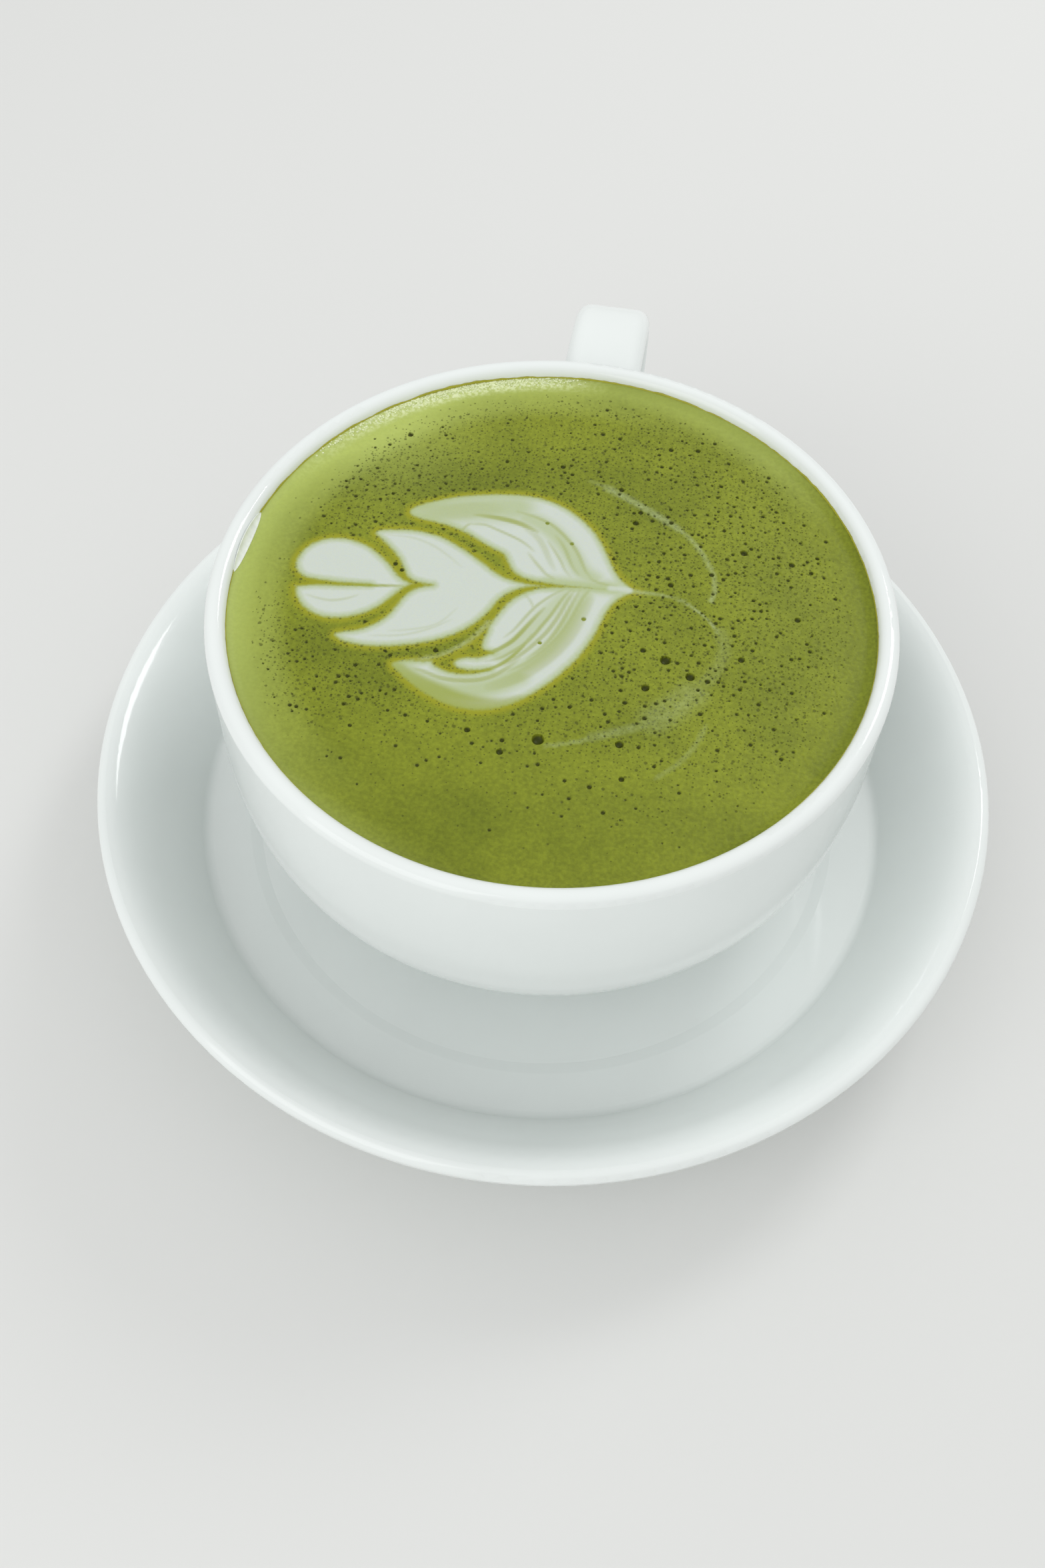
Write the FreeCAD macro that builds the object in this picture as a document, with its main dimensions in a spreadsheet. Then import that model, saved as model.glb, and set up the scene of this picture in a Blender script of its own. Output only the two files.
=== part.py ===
import FreeCAD, Part
import math
import os
import re
import Sketcher

# A matcha latte in its cup, on its saucer.
#
# Frame: millimetres, +Z up. The Z axis is the common axis of the cup and the saucer, z = 0 is the
# plane under the saucer's foot ring, and the cup's handle points along +Y.
#
# Three pieces, each one solid:
#   saucer        glazed porcelain, turned; the cup's foot ring stands in its well
#   cup           glazed porcelain, a turned bowl with a strap handle that is part of it
#   matcha_latte  the drink, which fills the bowl up to just under the lip

SIZES = {
    # cup
    "cup_radius": 54.0,           # outside, at the lip
    "cup_height": 61.3,           # from the foot ring to the crest of the lip
    "lip_thickness": 3.2,         # the lip is a half round of this width
    "wall_thickness": 4.2,        # at the belly
    "base_thickness": 5.0,        # between the drink and the hollow under the cup
    # control points of the bowl's side: heights are shares of the side's height
    "side_level": 0.75,           # upper point, straight below the lip
    "belly_bulge": 2.0,           # belly point, this far outside the lip
    "belly_level": 0.42,
    "bowl_inset": 9.5,            # lower point, this far inside the lip
    "bowl_level": 0.23,
    # the inside follows the outside's points, moved by these
    "floor_spread": 2.0,          # the flat floor runs this far past the foot ring
    "corner_in": 0.7,
    "corner_up": 3.2,
    "belly_in": 3.2,
    "belly_down": 2.5,
    "foot_radius": 30.0,          # outside of the foot ring
    "foot_width": 3.6,
    "foot_depth": 3.6,            # from the ring's face to where the bowl begins
    "foot_hollow": 2.6,           # the base is this much above the ring's face
    "foot_flare": 1.4,            # the ring widens by this much up to the bowl
    # handle
    "strap_width": 13.6,
    "strap_thickness": 6.0,
    "strap_corner": 2.7,
    "strap_drop": 3.0,            # the strap's top is this far below the lip's crest
    "handle_reach": 24.0,         # the strap's outer face, measured from the cup's side
    "handle_swell": 1.5,          # how far its control points stand outside its outer face
    # control points of the strap's path: heights are shares of the cup's height
    "shoulder_level": 0.69,       # below the shoulder the strap hangs straight down
    "return_level": 0.43,         # here it has turned back towards the bowl
    "return_in": 6.0,
    "heel_level": 0.34,           # the lower root is nearly level with this
    "root_level": 0.19,           # its end, inside the bowl's side, over the foot ring
    # drink
    "drink_drop": 2.4,            # from the lip's crest down to the drink
    "meniscus_width": 1.5,
    "meniscus_rise": 0.5,
    # saucer
    "saucer_radius": 79.0,
    "saucer_height": 25.0,
    "saucer_thickness": 3.6,
    "rim_width": 16.5,            # from the saucer's edge in to the knee, where its floor begins
    "ring_inset": 12.5,           # the foot ring's outside is this far inside the knee
    "saucer_foot_width": 4.0,
    "saucer_foot_height": 3.0,
    "saucer_hollow": 2.0,         # the underside within the ring is this much off the table
    "well_clearance": 2.5,        # from the cup's foot ring to the well's edge
    "well_depth": 1.0,
    "well_thinning": 0.4,         # the floor is this much thinner than the rim
    "ledge_inset": 8.0,           # the floor rises a little, this far inside the knee
    "ledge_rise": 0.4,
    "ledge_run": 2.0,
    "rim_round": 1.7,             # radius of the rim's edge
    "knee_round": 2.0,
    "knee_rise": 0.6,             # the floor outside the ledge rises by this much to the knee
    "rim_roll": 4.8,              # the rim is level for about this far inside its edge
    "rim_steep": 4.5,             # control point of the slope's steep start, across
    "rim_steepness": 0.46,        # and up, as a share of the slope's height
    # control points of the slope's underside
    "under_start": 4.0,
    "under_low": 3.5,
    "under_mid": 7.0,
    "under_mid_level": 0.4,
    "under_high": 3.0,
    "under_high_drop": 2.4,
    "under_edge_drop": 0.9,
    "ring_taper": 0.9,            # both foot rings lean by this much over their height
    "foot_round": 0.7,            # fillets of both foot rings
    "root_round": 1.3,            # blends the strap's roots into the cup's side
    "cut_above": 6.0,             # cutting outlines reach this far above the lip
}

# Sizes that follow from the driving ones, as the sketches use them.
DERIVED = {
    "lip_round": "lip_thickness / 2",
    "lip_radius": "cup_radius - lip_round",
    "lip_level": "cup_height - lip_round",
    "side_height": "cup_height - lip_round - foot_depth",
    "inner_radius": "cup_radius - lip_thickness",
    "cavity_floor": "foot_hollow + base_thickness",
    "strap_middle": "strap_thickness / 2",
    "strap_level": "cup_height - strap_drop - strap_middle",
    "strap_start": "cup_radius - lip_thickness + 0.5",
    "strap_out": "cup_radius + handle_reach - strap_middle",
    "drink_level": "cup_height - drink_drop",
    "knee_radius": "saucer_radius - rim_width",
    "saucer_foot_radius": "knee_radius - ring_inset",
    "ledge_radius": "knee_radius - ledge_inset",
    "well_radius": "foot_radius + well_clearance",
    "well_floor": "saucer_foot_height + saucer_thickness - well_depth - well_thinning",
    "saucer_floor": "well_floor + well_depth",
    "rim_centre": "saucer_radius - rim_round",
    "rim_climb": "saucer_height - saucer_foot_height",
    "rim_underside": "saucer_height - saucer_thickness",
    "knee_level": "saucer_floor + ledge_rise + knee_rise",
}

SAME_PLACE = 0.01                 # edges nearer than this to a wanted place are the ones meant

doc = FreeCAD.newDocument("matcha_latte")


def make_sheet():
    """The spreadsheet that holds every driving size."""
    sheet = doc.addObject("Spreadsheet::Sheet", "Sizes")
    for row, (name, amount) in enumerate(SIZES.items(), start=1):
        sheet.set(f"A{row}", name)
        sheet.set(f"B{row}", str(amount))
        sheet.setAlias(f"B{row}", name)
    doc.recompute()
    return sheet


sheet = make_sheet()
NAMES = re.compile(r"[a-z]+(?:_[a-z]+)+")


def spelled_out(text):
    """The expression with each derived size written out in driving ones."""

    def replace(found):
        name = found.group(0)
        return f"({spelled_out(DERIVED[name])})" if name in DERIVED else name

    return NAMES.sub(replace, text)


def bound(text):
    """The expression with each size written as a reference to its cell in the sheet."""
    return NAMES.sub(lambda found: "Sizes." + found.group(0), spelled_out(text))


def value(text):
    """What an expression of sizes comes to now."""
    return float(sheet.evalExpression(spelled_out(text)))


def plane_of(body, role):
    """One of the body's own origin planes."""
    return [part for part in body.Origin.OriginFeatures if part.Role == role][0]


class Outline:
    """A sketch whose every vertex and control point is bound to expressions of sizes.

    A point is a pair of expressions, (across, up). The outline runs on from the last point.
    """

    def __init__(self, body, name, role="XZ_Plane"):
        self.sketch = body.newObject("Sketcher::SketchObject", name)
        self.sketch.AttachmentSupport = [(plane_of(body, role), "")]
        self.sketch.MapMode = "FlatFace"
        self.opening = None
        self.here = None
        self.first = None
        self.last = None

    def vector(self, point):
        return FreeCAD.Vector(value(point[0]), value(point[1]), 0)

    def bind(self, kind, geometry, position, text):
        """Hold one coordinate of a point at an expression."""
        amount = value(text)
        if abs(amount) < 1e-9:
            axis = -2 if kind == "DistanceX" else -1
            self.sketch.addConstraint(Sketcher.Constraint("PointOnObject", geometry, position, axis))
            return
        if amount > 0:
            rule = Sketcher.Constraint(kind, -1, 1, geometry, position, amount)
            formula = text
        else:
            rule = Sketcher.Constraint(kind, geometry, position, -1, 1, -amount)
            formula = f"-({text})"
        index = self.sketch.addConstraint(rule)
        self.sketch.setExpression(f"Constraints[{index}]", bound(formula))

    def pin(self, geometry, position, point):
        """Hold a point at a pair of expressions."""
        self.bind("DistanceX", geometry, position, point[0])
        self.bind("DistanceY", geometry, position, point[1])

    def start(self, point):
        """Where the outline begins."""
        self.opening = point
        self.here = point

    def join(self, geometry):
        """Tie a new edge's start to the end of the edge before it."""
        if self.last is None:
            self.first = geometry
            self.pin(geometry, 1, self.here)
            return
        rule = Sketcher.Constraint("Coincident", self.last[0], self.last[1], geometry, 1)
        self.sketch.addConstraint(rule)

    def reach(self, geometry, position, point):
        """End an edge at a point, which is the outline's beginning when it closes."""
        if point == self.opening:
            rule = Sketcher.Constraint("Coincident", geometry, position, self.first, 1)
            self.sketch.addConstraint(rule)
        else:
            self.pin(geometry, position, point)
        self.last = (geometry, position)
        self.here = point

    def line(self, *points):
        """Straight edges through the points."""
        for point in points:
            edge = Part.LineSegment(self.vector(self.here), self.vector(point))
            geometry = self.sketch.addGeometry(edge, False)
            self.join(geometry)
            self.reach(geometry, 2, point)

    def close(self):
        """A straight edge back to where the outline began."""
        self.line(self.opening)

    def arc(self, middle, end):
        """A quarter round about the point middle, from here to end."""
        centre = self.vector(middle)
        begin = self.vector(self.here) - centre
        finish = self.vector(end) - centre
        turn = begin.x * finish.y - begin.y * finish.x
        angles = [math.atan2(begin.y, begin.x), math.atan2(finish.y, finish.x)]
        if turn < 0:
            angles.reverse()
        circle = Part.Circle(centre, FreeCAD.Vector(0, 0, 1), begin.Length)
        edge = Part.ArcOfCircle(circle, angles[0], angles[1])
        geometry = self.sketch.addGeometry(edge, False)
        near, far = (1, 2) if turn > 0 else (2, 1)
        rule = Sketcher.Constraint("Coincident", self.last[0], self.last[1], geometry, near)
        self.sketch.addConstraint(rule)
        self.reach(geometry, far, end)
        self.bind("DistanceX", geometry, 3, middle[0])

    def curve(self, *points):
        """A smooth cubic curve from here, with the points as its control points."""
        poles = [self.here] + list(points)
        spline = Part.BSplineCurve()
        spans = len(poles) - 3
        knots = [step / spans for step in range(spans + 1)]
        counts = [4] + [1] * (spans - 1) + [4]
        spline.buildFromPolesMultsKnots([self.vector(pole) for pole in poles], counts, knots, False, 3)
        geometry = self.sketch.addGeometry(spline, False)
        self.sketch.exposeInternalGeometry(geometry)
        if self.last is None:
            self.first = geometry
            self.pin(geometry + 1, 3, self.here)
        else:
            rule = Sketcher.Constraint("Coincident", self.last[0], self.last[1], geometry, 1)
            self.sketch.addConstraint(rule)
        for step, point in enumerate(points):
            self.pin(geometry + 2 + step, 3, point)
        self.last = (geometry, 2)
        self.here = points[-1]


def revolve(body, kind, name, outline):
    """Turn an outline once round the Z axis, as added or as removed material."""
    feature = body.newObject(kind, name)
    feature.Profile = outline.sketch
    feature.ReferenceAxis = (outline.sketch, ["V_Axis"])
    feature.Angle = 360
    outline.sketch.Visibility = False
    doc.recompute()
    return feature


def edges_where(shape, test):
    """The names of a shape's edges that pass a test."""
    return [f"Edge{index + 1}" for index, edge in enumerate(shape.Edges) if test(edge)]


def ring_at(radius, level):
    """A test for the round edge of that radius at that level, given as expressions."""
    far = value(radius)
    high = value(level)

    def test(edge):
        box = edge.BoundBox
        gaps = (box.XMax - far, box.YMax - far, box.ZMax - high, box.ZMin - high)
        return max(abs(gap) for gap in gaps) < SAME_PLACE

    return test


def fillet(body, name, tests, radius):
    """Round the edges that pass any of the tests."""
    base = body.Tip
    names = edges_where(base.Shape, lambda edge: any(test(edge) for test in tests))
    if not names:
        raise ValueError(f"{name}: no edge to round")
    feature = body.newObject("PartDesign::Fillet", name)
    feature.Base = (base, names)
    feature.setExpression("Radius", bound(radius))
    doc.recompute()
    return feature


# The two control points that give the bowl its roundness.
BOWL_POINT = ("cup_radius - bowl_inset", "foot_depth + side_height * bowl_level")
BELLY_POINT = ("cup_radius + belly_bulge", "foot_depth + side_height * belly_level")


def cavity(body, name):
    """The outline of the space inside the bowl, from its floor to well above the lip."""
    bowl_across, bowl_up = BOWL_POINT
    belly_across, belly_up = BELLY_POINT
    outline = Outline(body, name)
    outline.start(("0", "cavity_floor"))
    outline.curve(
        ("foot_radius + floor_spread", "cavity_floor"),
        (f"{bowl_across} - wall_thickness - corner_in", f"{bowl_up} + corner_up"),
        (f"{belly_across} - wall_thickness - belly_in", f"{belly_up} - belly_down"),
        ("inner_radius", "foot_depth + side_height * side_level"),
        ("inner_radius", "lip_level"),
    )
    outline.arc(("lip_radius", "lip_level"), ("lip_radius", "cup_height"))
    outline.line(("lip_radius", "cup_height + cut_above"), ("0", "cup_height + cut_above"))
    outline.close()
    return outline


def strap_root(shape):
    """A test for the edges where a face of the strap meets the turned bowl."""
    narrow = value("strap_width") + 1
    wide = value("cup_radius")

    def test(edge):
        spans = [face.BoundBox.XLength for face in shape.ancestorsOfType(edge, Part.Face)]
        return min(spans) < narrow and max(spans) > wide

    return test


def build_cup():
    """The turned bowl on its foot ring, with the strap handle at the back."""
    body = doc.addObject("PartDesign::Body", "cup")
    body.Label = "cup"
    outside = Outline(body, "bowl_outline")
    outside.start(("0", "foot_hollow"))
    outside.line(
        ("foot_radius - foot_width - ring_taper", "foot_hollow"),
        ("foot_radius - foot_width", "0"),
        ("foot_radius", "0"),
        ("foot_radius + foot_flare", "foot_depth"),
    )
    outside.curve(
        BOWL_POINT,
        BELLY_POINT,
        ("cup_radius", "foot_depth + side_height * side_level"),
        ("cup_radius", "lip_level"),
    )
    outside.arc(("lip_radius", "lip_level"), ("lip_radius", "cup_height"))
    outside.line(("0", "cup_height"))
    outside.close()
    revolve(body, "PartDesign::Revolution", "bowl", outside)
    add_handle(body)
    revolve(body, "PartDesign::Groove", "hollow", cavity(body, "hollow_outline"))
    rings = [
        ring_at("foot_radius", "0"),
        ring_at("foot_radius - foot_width", "0"),
        ring_at("foot_radius - foot_width - ring_taper", "foot_hollow"),
    ]
    fillet(body, "foot_fillet", rings, "foot_round")
    body.setExpression("Placement.Base.z", bound("well_floor"))
    return body


def add_handle(body):
    """The strap: a rounded bar swept out from under the lip, down and back to the bowl."""
    path = Outline(body, "strap_path", "YZ_Plane")
    path.start(("strap_start", "strap_level"))
    path.curve(
        ("(strap_start + strap_out) / 2", "strap_level"),
        ("strap_out + handle_swell", "strap_level"),
        ("strap_out + handle_swell", "cup_height * shoulder_level"),
        ("strap_out - return_in", "cup_height * return_level"),
        ("lip_radius", "cup_height * heel_level"),
        ("foot_radius", "cup_height * root_level"),
    )
    section = Outline(body, "strap_section")
    section.sketch.AttachmentOffset = FreeCAD.Placement(
        FreeCAD.Vector(0, 0, -value("strap_start")), FreeCAD.Rotation()
    )
    section.sketch.setExpression("AttachmentOffset.Base.z", bound("-strap_start"))
    half = "strap_width / 2"
    side = "(strap_width / 2 - strap_corner)"
    low = "strap_level - strap_middle"
    high = "strap_level + strap_middle"
    section.start((f"-{side}", low))
    section.line((side, low))
    section.arc((side, f"{low} + strap_corner"), (half, f"{low} + strap_corner"))
    section.line((half, f"{high} - strap_corner"))
    section.arc((side, f"{high} - strap_corner"), (side, high))
    section.line((f"-{side}", high))
    section.arc((f"-{side}", f"{high} - strap_corner"), (f"-{half}", f"{high} - strap_corner"))
    section.line((f"-{half}", f"{low} + strap_corner"))
    section.arc((f"-{side}", f"{low} + strap_corner"), (f"-{side}", low))
    doc.recompute()
    strap = body.newObject("PartDesign::AdditivePipe", "strap")
    strap.Profile = section.sketch
    strap.Spine = (path.sketch, [])
    doc.recompute()
    fillet(body, "root_fillet", [strap_root(strap.Shape)], "root_round")


def build_drink():
    """The drink: the bowl's inside up to its level, turned up a little where it meets the wall."""
    body = doc.addObject("PartDesign::Body", "matcha_latte")
    body.Label = "matcha_latte"
    revolve(body, "PartDesign::Revolution", "fill", cavity(body, "fill_outline"))
    top = Outline(body, "level_outline")
    top.start(("0", "drink_level"))
    top.line(("inner_radius - meniscus_width", "drink_level"))
    top.line(("inner_radius", "drink_level + meniscus_rise"))
    top.line(("cup_radius", "drink_level + meniscus_rise"))
    top.line(("cup_radius", "cup_height + 2 * cut_above"), ("0", "cup_height + 2 * cut_above"))
    top.close()
    revolve(body, "PartDesign::Groove", "level", top)
    body.setExpression("Placement.Base.z", bound("well_floor"))
    return body


def build_saucer():
    """The saucer: a foot ring, a well for the cup, a floor with a low ledge, and a raised rim."""
    body = doc.addObject("PartDesign::Body", "saucer")
    body.Label = "saucer"
    outline = Outline(body, "saucer_outline")
    ring_inside = "saucer_foot_radius - saucer_foot_width"
    outline.start(("0", "saucer_hollow"))
    outline.line(
        (f"{ring_inside} - ring_taper", "saucer_hollow"),
        (ring_inside, "0"),
        ("saucer_foot_radius", "0"),
        ("saucer_foot_radius + ring_taper", "saucer_foot_height"),
        ("knee_radius - under_start", "saucer_foot_height"),
    )
    outline.curve(
        ("knee_radius + under_low", "saucer_foot_height"),
        ("knee_radius + under_mid", "saucer_foot_height + rim_climb * under_mid_level"),
        ("rim_centre - under_high", "rim_underside - under_high_drop"),
        ("saucer_radius", "rim_underside - under_edge_drop"),
        ("saucer_radius", "saucer_height - rim_round"),
    )
    outline.arc(("rim_centre", "saucer_height - rim_round"), ("rim_centre", "saucer_height"))
    outline.curve(
        ("rim_centre - rim_roll", "saucer_height"),
        ("knee_radius + rim_steep", "knee_level + (saucer_height - knee_level) * rim_steepness"),
        ("knee_radius", "knee_level"),
    )
    outline.line(
        ("ledge_radius", "saucer_floor + ledge_rise"),
        ("ledge_radius - ledge_run", "saucer_floor"),
        ("well_radius + well_depth", "saucer_floor"),
        ("well_radius", "well_floor"),
        ("0", "well_floor"),
    )
    outline.close()
    revolve(body, "PartDesign::Revolution", "turned", outline)
    fillet(body, "knee_fillet", [ring_at("knee_radius", "knee_level")], "knee_round")
    rings = [
        ring_at("saucer_foot_radius", "0"),
        ring_at(ring_inside, "0"),
    ]
    fillet(body, "foot_fillet", rings, "foot_round")
    return body


def check(pieces):
    """Stop if anything in the document failed, or if a piece isn't one sound solid."""
    for part in doc.Objects:
        if "Invalid" in part.State or "Error" in part.State:
            raise ValueError(f"{part.Name}: {part.State}")
    for piece in pieces:
        shape = piece.Shape
        if shape.isNull() or not shape.isValid() or len(shape.Solids) != 1:
            raise ValueError(f"{piece.Label}: not one sound solid")
        print(piece.Label, "volume", round(shape.Volume / 1000, 1), "ml, box", shape.BoundBox)


def main():
    pieces = [build_saucer(), build_cup(), build_drink()]
    doc.recompute()
    check(pieces)
    os.makedirs("parts", exist_ok=True)
    for piece in pieces:
        piece.Shape.exportStep(f"parts/{piece.Label}.step")


main()
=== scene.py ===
import math
import random

import bpy
import numpy as np
from mathutils import Matrix, Vector, noise


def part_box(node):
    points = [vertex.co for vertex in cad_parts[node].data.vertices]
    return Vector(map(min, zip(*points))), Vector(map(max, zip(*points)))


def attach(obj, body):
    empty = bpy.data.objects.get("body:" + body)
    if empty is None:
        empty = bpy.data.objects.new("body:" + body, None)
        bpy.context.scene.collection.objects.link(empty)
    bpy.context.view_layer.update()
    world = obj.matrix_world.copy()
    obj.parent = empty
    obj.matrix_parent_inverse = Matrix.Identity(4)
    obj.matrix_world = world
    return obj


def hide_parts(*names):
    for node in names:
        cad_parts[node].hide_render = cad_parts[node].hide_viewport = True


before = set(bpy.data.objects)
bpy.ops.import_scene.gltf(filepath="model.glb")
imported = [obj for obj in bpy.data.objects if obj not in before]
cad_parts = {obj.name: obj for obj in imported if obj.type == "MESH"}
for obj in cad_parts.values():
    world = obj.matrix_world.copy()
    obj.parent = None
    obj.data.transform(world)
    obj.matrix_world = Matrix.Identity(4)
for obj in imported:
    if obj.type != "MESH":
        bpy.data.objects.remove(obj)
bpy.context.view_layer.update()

bl_info = {
    "name": "Matcha latte in a cup and saucer",
    "version": (1, 0, 0),
    "blender": (4, 5, 0),
    "location": "View3D > Sidebar > Latte",
    "description": "Finishes a matcha latte with poured milk hearts in a glazed porcelain cup",
    "category": "Object",
}

MM = 0.001
CUP_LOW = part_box("cup")[0]
SAUCER_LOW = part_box("saucer")[0]
DRINK_LOW, DRINK_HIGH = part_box("matcha_latte")
DRINK_RADIUS = DRINK_HIGH.x
# The drink climbs the wall by this much, over this width.
MENISCUS_RISE = 0.5 * MM
MENISCUS_WIDTH = 1.7 * MM
FOAM_LEVEL = DRINK_HIGH.z - MENISCUS_RISE
# The foam stops this far from the cup's wall, so the two never share a face.
WALL_GAP = 0.05 * MM

# The camera's place in metres, its three turns in degrees, and its lens in mm.
CAMERA_PLACE = (0.0172, -0.1511, 0.2501)
CAMERA_TURN = 7.9
CAMERA_TILT = 32.58
CAMERA_ROLL = 1.97
CAMERA_LENS = 34.94


# ---------------------------------------------------------------- the pour, in mm from the cup's axis
# +X is right and +Y is towards the handle. A point given twice is a sharp corner.

SMALL_HEART = [
    (-29.5, -0.9), (-29.5, -0.9), (-33.5, -1.2), (-37.0, -1.3), (-39.8, -1.0), (-41.4, 0.6), (-41.6, 2.8),
    (-40.6, 5.2), (-38.4, 7.1), (-35.2, 7.9), (-31.6, 7.2), (-28.8, 5.5), (-26.6, 3.5), (-24.8, 1.6),
    (-22.6, 0.5), (-22.6, 0.5), (-24.0, -0.9), (-25.3, -2.9), (-27.2, -5.3), (-29.8, -7.2), (-33.0, -8.3),
    (-36.0, -8.2), (-38.4, -6.9), (-40.1, -4.8), (-40.4, -3.2), (-40.4, -3.2), (-37.5, -2.3), (-33.5, -1.7),
]
MIDDLE_HEART = [
    (-19.6, 0.8), (-19.6, 0.8), (-22.2, 1.1), (-23.6, 1.9), (-24.6, 3.5), (-25.8, 5.4), (-27.6, 7.3),
    (-29.5, 8.9), (-30.5, 9.8), (-29.9, 10.7), (-27.5, 11.3), (-24.0, 11.7), (-20.0, 11.1), (-16.2, 9.3),
    (-12.8, 7.2), (-10.2, 5.4), (-8.0, 4.4), (-5.0, 3.9), (-2.2, 3.9), (-2.2, 3.9), (-5.0, 3.0), (-7.1, 1.5),
    (-8.5, -0.2), (-9.6, -2.6), (-11.2, -5.3), (-13.6, -7.8), (-16.6, -9.8), (-20.2, -11.3), (-24.2, -12.4),
    (-28.0, -12.8), (-31.0, -12.4), (-32.3, -11.4), (-31.0, -10.6), (-28.8, -9.8), (-26.6, -8.2),
    (-25.0, -6.2), (-24.1, -4.0), (-23.1, -1.8), (-21.7, -0.2),
]
OUTER_UPPER = [
    (12.5, 5.2), (12.5, 5.2), (10.0, 4.9), (5.0, 4.6), (0.0, 4.5), (-3.0, 4.6), (-5.4, 4.9), (-7.2, 5.9),
    (-8.4, 7.6), (-9.4, 9.2), (-11.2, 10.0), (-13.6, 11.2), (-16.2, 12.6), (-18.6, 13.4), (-21.5, 14.0),
    (-24.2, 14.3), (-25.9, 15.1), (-25.6, 16.5), (-23.4, 18.0), (-20.0, 19.7), (-16.2, 21.0), (-12.0, 22.0),
    (-8.0, 22.4), (-4.6, 22.1), (-1.6, 21.1), (1.2, 19.4), (3.6, 17.3), (5.4, 15.0), (6.9, 12.4),
    (8.2, 9.9), (9.6, 7.7), (11.4, 6.2),
]
OUTER_LOWER = [
    (12.5, 5.4), (12.5, 5.4), (11.0, 4.3), (9.8, 3.0), (8.6, 0.6), (7.9, -2.2), (7.0, -5.4), (5.3, -9.4),
    (2.8, -13.4), (0.2, -16.6), (-2.8, -19.4), (-6.0, -21.2), (-9.6, -21.9), (-13.4, -21.3), (-17.2, -19.6),
    (-20.4, -17.4), (-22.4, -15.4), (-20.4, -14.5), (-18.2, -14.2), (-15.8, -13.6), (-13.6, -12.2),
    (-11.4, -9.8), (-10.1, -7.8), (-9.2, -5.6), (-8.2, -3.0), (-7.1, -0.6), (-5.6, 1.3), (-3.6, 2.8),
    (-1.4, 3.7), (3.0, 4.6), (8.0, 5.2),
]
# The pocket where tea foam folds into the outer heart.
GREEN_FOLD = [
    (-9.4, -4.6), (-9.4, -4.6), (-9.2, -6.5), (-9.5, -8.6), (-9.3, -10.1), (-7.8, -10.7), (-7.8, -10.7),
    (-9.6, -11.9), (-11.4, -12.2), (-12.8, -12.9), (-13.1, -13.8), (-12.2, -14.5), (-10.2, -14.6),
    (-7.8, -14.0), (-7.8, -14.0), (-10.0, -15.1), (-12.4, -15.5), (-14.4, -15.2), (-16.0, -14.5),
    (-16.6, -13.6), (-16.6, -13.6), (-14.8, -12.6), (-13.0, -11.2), (-11.4, -9.4), (-10.3, -7.4),
    (-9.8, -5.8),
]
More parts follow.
